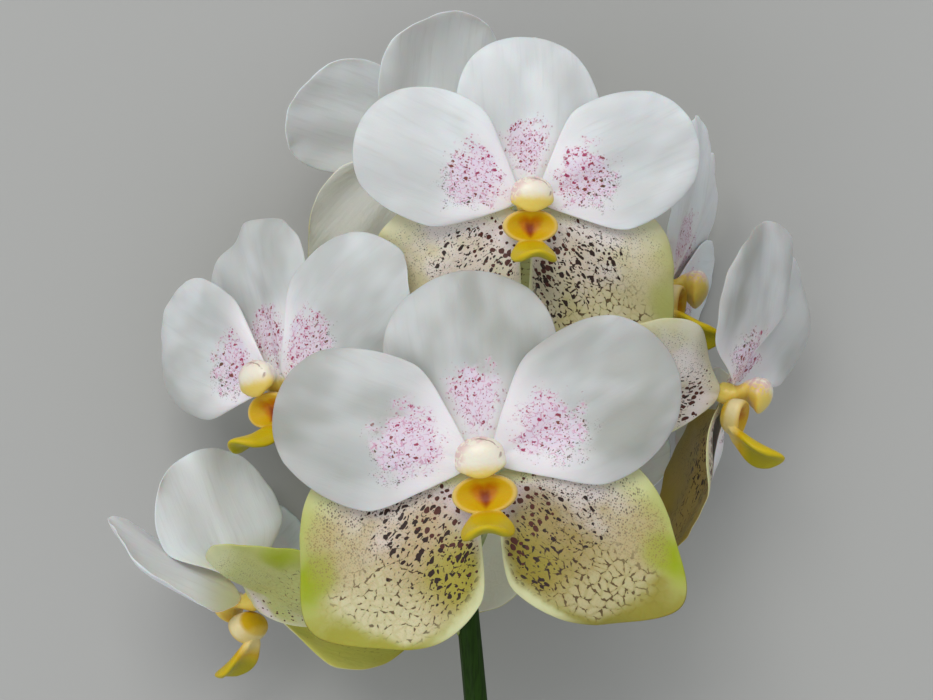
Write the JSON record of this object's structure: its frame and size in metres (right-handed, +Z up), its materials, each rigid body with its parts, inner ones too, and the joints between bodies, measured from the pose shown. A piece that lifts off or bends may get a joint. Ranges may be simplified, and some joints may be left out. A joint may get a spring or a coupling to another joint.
{
  "type": "cut vanda orchid",
  "caption": "Cut orchid spike lying on its back, with flat round white blooms, brown-netted lower sepals and yellow lips on a green stem.",
  "frame": {"origin": "on the surface that the spike lies on, under the middle of its bounding box", "axes": "+Y runs up the spike from the cut end to the youngest bloom, +X across it to the front bloom's right, +Z up, the way that the front bloom faces"},
  "size_m": [0.177, 0.3207, 0.1101],
  "materials": {
    "petal": "white petal with a soft waxy sheen, faint veins and a few pink-purple dots near its root",
    "netted_sepal": "cream to yellow-green sepal with a broken brown network, soft waxy sheen",
    "column": "smooth cream, waxy, pink-purple at its base",
    "lip": "fleshy yellow, orange-brown inside the cup, waxy",
    "stem": "dark green stem and pale green flower stalks, smooth with fine ridges"
  },
  "bodies": {
    "root": {"flower_stem": "stem", "front_dorsal_sepal": "petal", "front_petal_right": "petal", "front_petal_left": "petal", "front_lateral_sepal_right": "netted_sepal", "front_lateral_sepal_left": "netted_sepal", "front_column": "column", "front_lip": "lip", "top_dorsal_sepal": "petal", "top_petal_right": "petal", "top_petal_left": "petal", "top_lateral_sepal_right": "netted_sepal", "top_lateral_sepal_left": "netted_sepal", "top_column": "column", "top_lip": "lip", "left_dorsal_sepal": "petal", "left_petal_right": "petal", "left_petal_left": "petal", "left_lateral_sepal_right": "netted_sepal", "left_lateral_sepal_left": "netted_sepal", "left_column": "column", "left_lip": "lip", "right_dorsal_sepal": "petal", "right_petal_right": "petal", "right_petal_left": "petal", "right_lateral_sepal_right": "netted_sepal", "right_lateral_sepal_left": "netted_sepal", "right_column": "column", "right_lip": "lip", "low_left_dorsal_sepal": "petal", "low_left_petal_right": "petal", "low_left_petal_left": "petal", "low_left_lateral_sepal_right": "netted_sepal", "low_left_lateral_sepal_left": "netted_sepal", "low_left_column": "column", "low_left_lip": "lip", "back_top_dorsal_sepal": "petal", "back_top_petal_right": "petal", "back_top_petal_left": "petal", "back_top_lateral_sepal_right": "netted_sepal", "back_top_lateral_sepal_left": "netted_sepal", "back_top_column": "column", "back_top_lip": "lip", "back_right_dorsal_sepal": "petal", "back_right_petal_right": "petal", "back_right_petal_left": "petal", "back_right_lateral_sepal_right": "netted_sepal", "back_right_lateral_sepal_left": "netted_sepal", "back_right_column": "column", "back_right_lip": "lip", "back_low_dorsal_sepal": "petal", "back_low_petal_right": "petal", "back_low_petal_left": "petal", "back_low_lateral_sepal_right": "netted_sepal", "back_low_lateral_sepal_left": "netted_sepal", "back_low_column": "column", "back_low_lip": "lip"}
  },
  "joints": []
}
